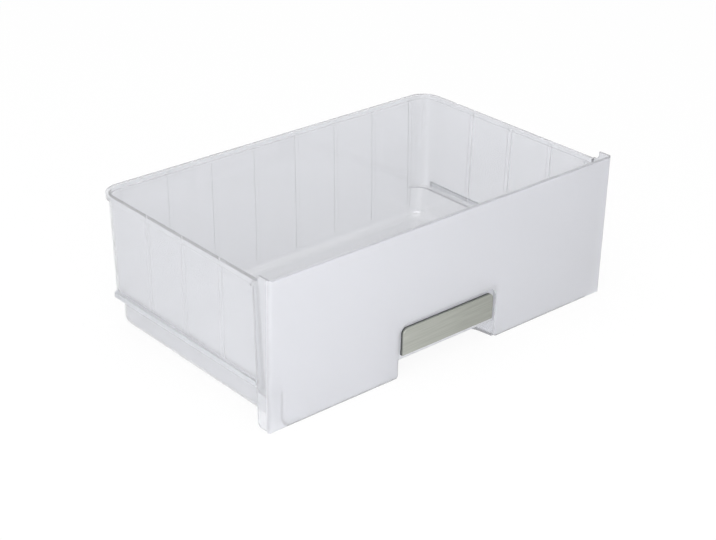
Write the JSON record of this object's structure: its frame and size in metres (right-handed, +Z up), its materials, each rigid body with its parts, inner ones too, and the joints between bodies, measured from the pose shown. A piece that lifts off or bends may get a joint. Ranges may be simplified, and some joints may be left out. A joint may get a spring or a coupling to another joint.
{
  "type": "refrigerator crisper drawer",
  "caption": "Clear moulded crisper drawer for a refrigerator, open at the top, with side runners and a trimmed grip notch in its front panel.",
  "frame": {"origin": "centre of the drawer's base, midway between the front face and the rear lip", "axes": "+X to the right across the front panel, +Y from the front panel to the rear, +Z up"},
  "size_m": [0.494, 0.3, 0.171],
  "materials": {
    "clear_polystyrene": "gloss",
    "brushed_trim": "satin"
  },
  "bodies": {
    "root": {"drawer_body": "clear_polystyrene", "handle_trim": "brushed_trim"}
  },
  "joints": []
}
